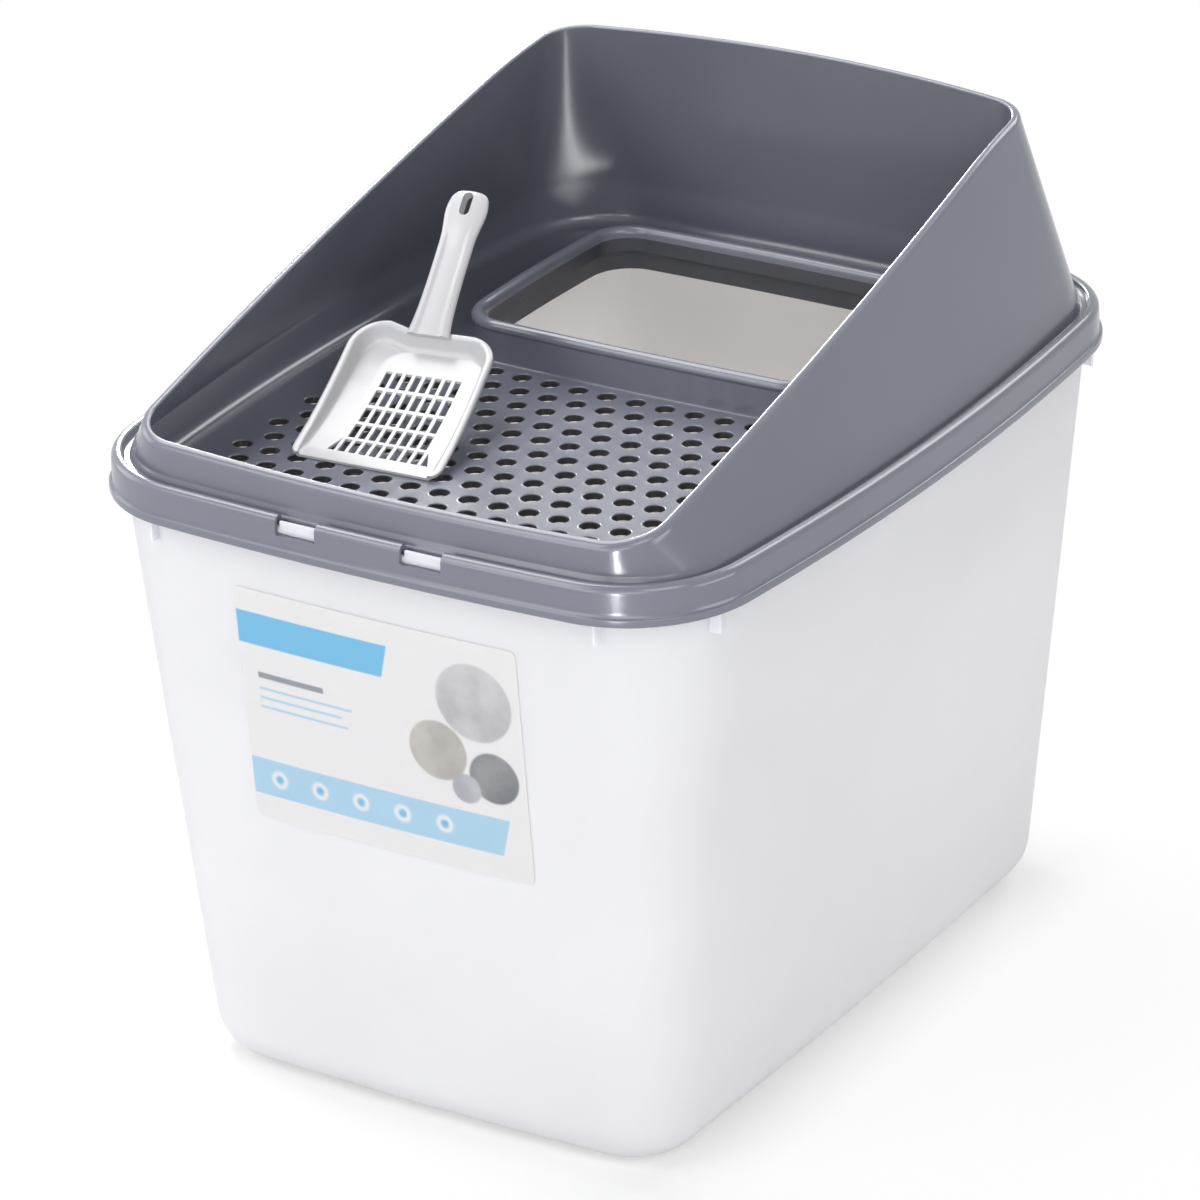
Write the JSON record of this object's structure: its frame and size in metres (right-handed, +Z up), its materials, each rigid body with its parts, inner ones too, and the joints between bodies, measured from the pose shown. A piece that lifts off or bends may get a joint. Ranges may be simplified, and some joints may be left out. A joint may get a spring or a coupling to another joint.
{
  "type": "top entry litter box",
  "caption": "Tapered tub with a lift-off lid: a sloping splash hood round a perforated step and a raised top entry opening, with a hand scoop on the step.",
  "frame": {"origin": "middle of the footprint, on the floor under the tub", "axes": "+Z up, front towards -Y (the low end of the hood, with the label), +X to the right seen from the front"},
  "size_m": [0.4416, 0.55, 0.5137],
  "materials": {
    "tub_white": "satin white, slightly translucent",
    "lid_grey": "cool mid grey, satin gloss",
    "scoop_white": "gloss white",
    "label_film": "printed film"
  },
  "bodies": {
    "tub_body": {"tub": "tub_white", "front_label": "label_film"},
    "lid_body": {"lid_rim_hood": "lid_grey", "lid_platform": "lid_grey", "lid_entry_collar": "lid_grey"},
    "scoop_body": {"scoop": "scoop_white"}
  },
  "joints": [
    {"name": "lid_lift", "type": "slide", "parent": "tub_body", "child": "lid_body", "axis": [0, 0, 1], "range_m": [0, 0.2]},
    {"name": "scoop_lift", "type": "slide", "parent": "lid_body", "child": "scoop_body", "axis": [0, 0, 1], "range_m": [0, 0.15]}
  ]
}
